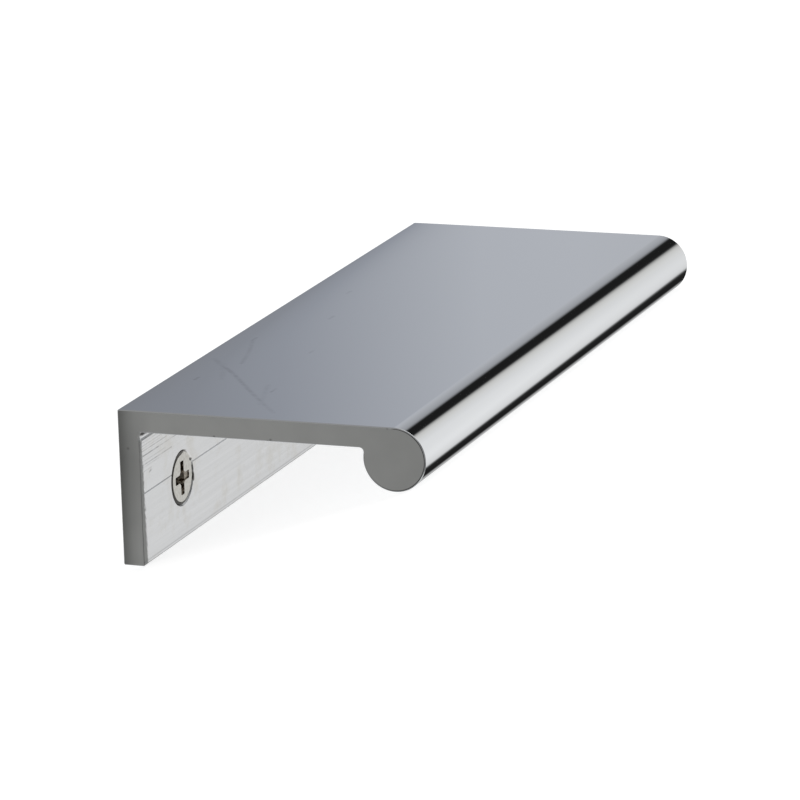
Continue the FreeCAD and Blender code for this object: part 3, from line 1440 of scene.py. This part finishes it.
@dataclass(frozen=True)
class Tent:
    """The light tent's cloth: how bright it is all round, in five bands, and where they meet.

    Each meeting place is a pair of elevations in degrees, from where the next band starts to where it is
    full. The filling stands in the dark gaps near the level.
    """

    radius: float = 3.0
    ground_from: tuple[float, float] = (-32, -48)
    upper_from: tuple[float, float] = (-6, 6)
    filling_from: tuple[float, float] = (17.5, 15)
    roof_from: tuple[float, float] = (27, 50)
    filling_level: float = 0.4
    filling: Stops = band(
        (-16, 0.0), (-9, 1.0), (7, 1.0), (13, 0.0), (72, 0.0), (82, 0.7), (140, 0.7), (150, 0.0)
    )
    roof: Stops = band(
        (-180, 0.33), (-110, 0.33), (-50, 0.38), (-25, 0.7), (10, 1.35), (92, 1.25), (106, 0.12),
        (150, 0.12), (180, 0.33),
    )
    ground: Stops = band(
        (-180, 0.4), (-140, 0.4), (-100, 0.7), (-45, 0.95), (-15, 0.6), (0, 0.35), (18, 0.95),
        (50, 1.1), (140, 1.0), (160, 0.4), (180, 0.4),
    )
    upper: Stops = band(
        (-180, 0.42), (-60, 0.5), (-34, 0.25, 0.1), (-27, 0.285, 0.1), (-24, 0.325, 0.12),
        (-22.8, 0.366, 0.13), (-21.8, 0.432, 0.12), (-21.1, 0.478, 0.1), (-20.2, 0.552, 0.085),
        (-19, 0.6, 0.08), (-17.5, 0.58, 0.07), (-16, 0.57, 0.06), (-12, 0.515, 0.06),
        (-8, 0.465, 0.06), (-5.5, 0.4, 0.05), (-3.6, 0.265, 0.05), (-2, 0.05, 0.03),
        (-0.5, 0.017), (4, 0.015), (9.9, 0.018), (11.5, 0.1), (13, 0.5, -0.04), (15.5, 0.79, -0.03),
        (19, 0.92, -0.02), (21.5, 0.96), (24.5, 1.05), (29, 1.0), (36, 0.78), (60, 0.08),
        (148, 0.07), (160, 0.42), (180, 0.42),
    )
    lower: Stops = band(
        (-180, 0.4), (-140, 0.4), (-100, 0.7), (-45, 0.95), (-24, 0.9), (-20, 0.78), (-15.5, 0.6),
        (-12, 0.52), (-8.5, 0.45), (-5, 0.33), (-3.4, 0.09), (-1, 0.02), (2, 0.016), (9.6, 0.018),
        (11.0, 0.03), (13.0, 0.08), (14.0, 0.25), (14.8, 0.62), (16.2, 0.84), (19, 0.95),
        (21.5, 1.0), (24.5, 1.1), (29, 1.05), (36, 0.82), (60, 0.09), (148, 0.07), (160, 0.4),
        (180, 0.4),
    )

    def make(self, laying: Laying) -> Material:
        """Builds the glowing cloth.

        Args:
            laying: Where the drawing lies.

        Returns:
            The material.
        """
        shader = Shader(bpy.data.materials.new("light_tent_cloth"))
        way = shader.axes(shader.installed(laying, shifted=False))
        around = shader.angle(way["X"], way["Y"])
        flat = shader.math("ADD", shader.times(way["X"], way["X"]), shader.times(way["Y"], way["Y"]))
        rise = shader.math("ARCTAN2", way["Z"], shader.math("SQRT", flat))
        bands = (self.upper, self.lower, self.ground, self.roof, self.filling)
        upper, lower, ground, roof, filling = (shader.dial(around, stops) for stops in bands)
        lower = shader.blend(self.past(shader, rise, self.ground_from), lower, ground)
        wall = shader.blend(self.past(shader, rise, self.upper_from), lower, upper)
        level = self.past(shader, shader.math("ABSOLUTE", rise), self.filling_from)
        wall = shader.blend(shader.times(level, filling), wall, grey(self.filling_level))
        wall = shader.blend(self.past(shader, rise, self.roof_from), wall, roof)
        shader.add("OutputMaterial", Surface=shader.add("Emission", Color=wall, Strength=1.0).outputs[0])
        return shader.owner

    @staticmethod
    def past(shader: Shader, rise: Socket, degrees: tuple[float, float]) -> Socket:
        """How far a rise in radians has gone from one elevation to another."""
        return shader.span(rise, *map(math.radians, degrees))


@dataclass(frozen=True)
class Studio:
    """A white floor inside a light tent whose walls the plating mirrors."""

    laying: Laying
    floor_size: float = 4.2
    paper: str = "#c8c8c8"
    paper_glow: float = 0.8
    sky_light: float = 0.7

    def floor(self) -> None:
        """Lays a white floor that keeps the pull's soft shadow."""
        deselect_all()
        bpy.ops.mesh.primitive_plane_add(size=self.floor_size)
        floor = bpy.context.object
        floor.name = "studio_floor"
        floor.visible_glossy = False
        shader = Shader(bpy.data.materials.new("white_floor"))
        paper = shader.add("BsdfDiffuse", Color=self.paper)
        lift = shader.times(shader.seen(), self.paper_glow)
        glow = shader.add("Emission", Color=WHITE, Strength=lift)
        both = shader.add("AddShader", in0=paper.outputs[0], in1=glow.outputs[0])
        shader.add("OutputMaterial", Surface=both.outputs[0])
        shader.owner.cycles.emission_sampling = "NONE"
        floor.data.materials.append(shader.owner)
        floor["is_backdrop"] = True

    def tent(self) -> None:
        """Raises the light tent, which the camera itself doesn't see."""
        deselect_all()
        cloth = Tent()
        bpy.ops.mesh.primitive_uv_sphere_add(segments=48, ring_count=24, radius=cloth.radius)
        tent = bpy.context.object
        tent.name = "light_tent"
        tent.visible_camera = False
        material = cloth.make(self.laying)
        material.cycles.emission_sampling = "NONE"
        tent.data.materials.append(material)
        tent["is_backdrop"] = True

    def world(self) -> None:
        """Whitens what lies past the floor's edge, for the camera and for mirrors."""
        shader = Shader(bpy.data.worlds.new("studio"))
        level = shader.span(shader.seen(), 0.0, 1.0, self.sky_light, 1.0)
        back = shader.add("Background", Color=WHITE, Strength=level)
        shader.add("OutputWorld", Surface=back.outputs[0])
        bpy.context.scene.world = shader.owner

    def build(self) -> None:
        """Sets up the floor, the tent and the world."""
        self.floor()
        self.tent()
        self.world()
        bpy.context.scene.view_settings.view_transform = "Standard"


def corners(bounds: tuple[Vector, Vector]) -> list[list[float]]:
    """A box's two corners as plain lists."""
    return [list(corner) for corner in bounds]


def main() -> None:
    """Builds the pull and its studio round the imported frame."""
    logging.basicConfig(level=logging.INFO, format="%(message)s")
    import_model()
    sizes = {"cad": corners(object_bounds())}
    section = Section()
    laying = Laying.from_frame(section)
    pieces = [
        PullProfile(section, laying).build(),
        CountersunkScrew(Part.NEAR_SCREW, -section.screw_y, section, laying).build(),
        CountersunkScrew(Part.FAR_SCREW, section.screw_y, section, laying).build(),
    ]
    for piece in pieces:
        LOG.info("%s: %d faces", piece.name, len(piece.data.polygons))
    Camera().place(laying)
    Studio(laying).build()
    bpy.context.view_layer.update()
    sizes["visual"] = corners(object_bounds())


if __name__ == "__main__":
    main()
